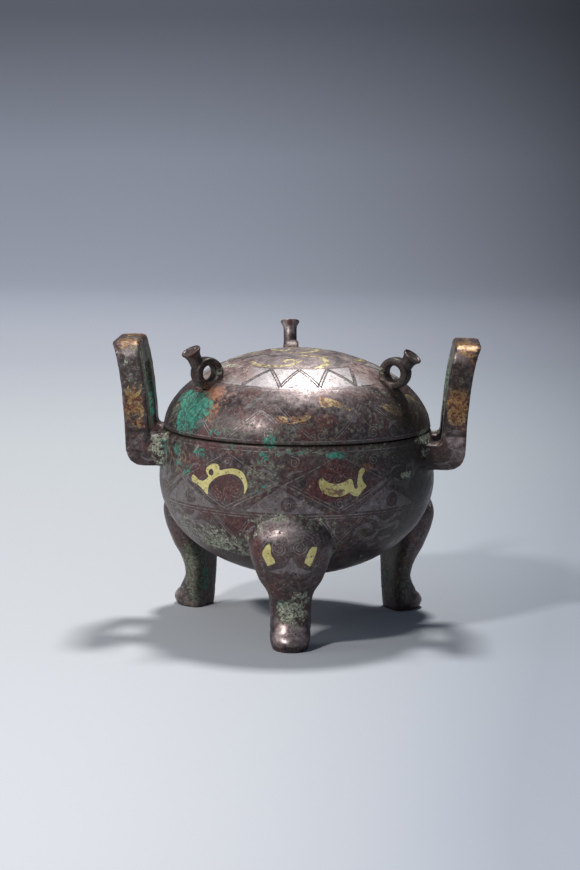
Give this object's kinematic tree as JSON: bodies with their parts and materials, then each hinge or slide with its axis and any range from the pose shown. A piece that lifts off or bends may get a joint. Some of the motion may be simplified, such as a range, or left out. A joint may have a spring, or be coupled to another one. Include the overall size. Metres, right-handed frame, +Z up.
{
  "type": "lidded bronze ding vessel",
  "caption": "Round-bellied footed metal vessel with hoofed legs and upright ears; its domed lid has ring knobs and lifts off. Inlaid, dark patina.",
  "frame": {"origin": "centre of the bounding box's footprint, on the floor under the soles", "axes": "+Z up, the two ears on the X axis, one leg towards -Y and the other two towards +Y"},
  "size_m": [0.1714, 0.1374, 0.1394],
  "materials": {
    "vessel": "satin, dark brown patinated bronze with gold and silver inlay and green corrosion",
    "lid": "satin, dark brown patinated bronze with gold and silver inlay and green corrosion",
    "gold_inlay": "worn gold inlay, satin",
    "silver_inlay": "tarnished silver inlay, satin"
  },
  "bodies": {
    "root": {"vessel": "vessel", "lid": "lid"}
  },
  "joints": []
}
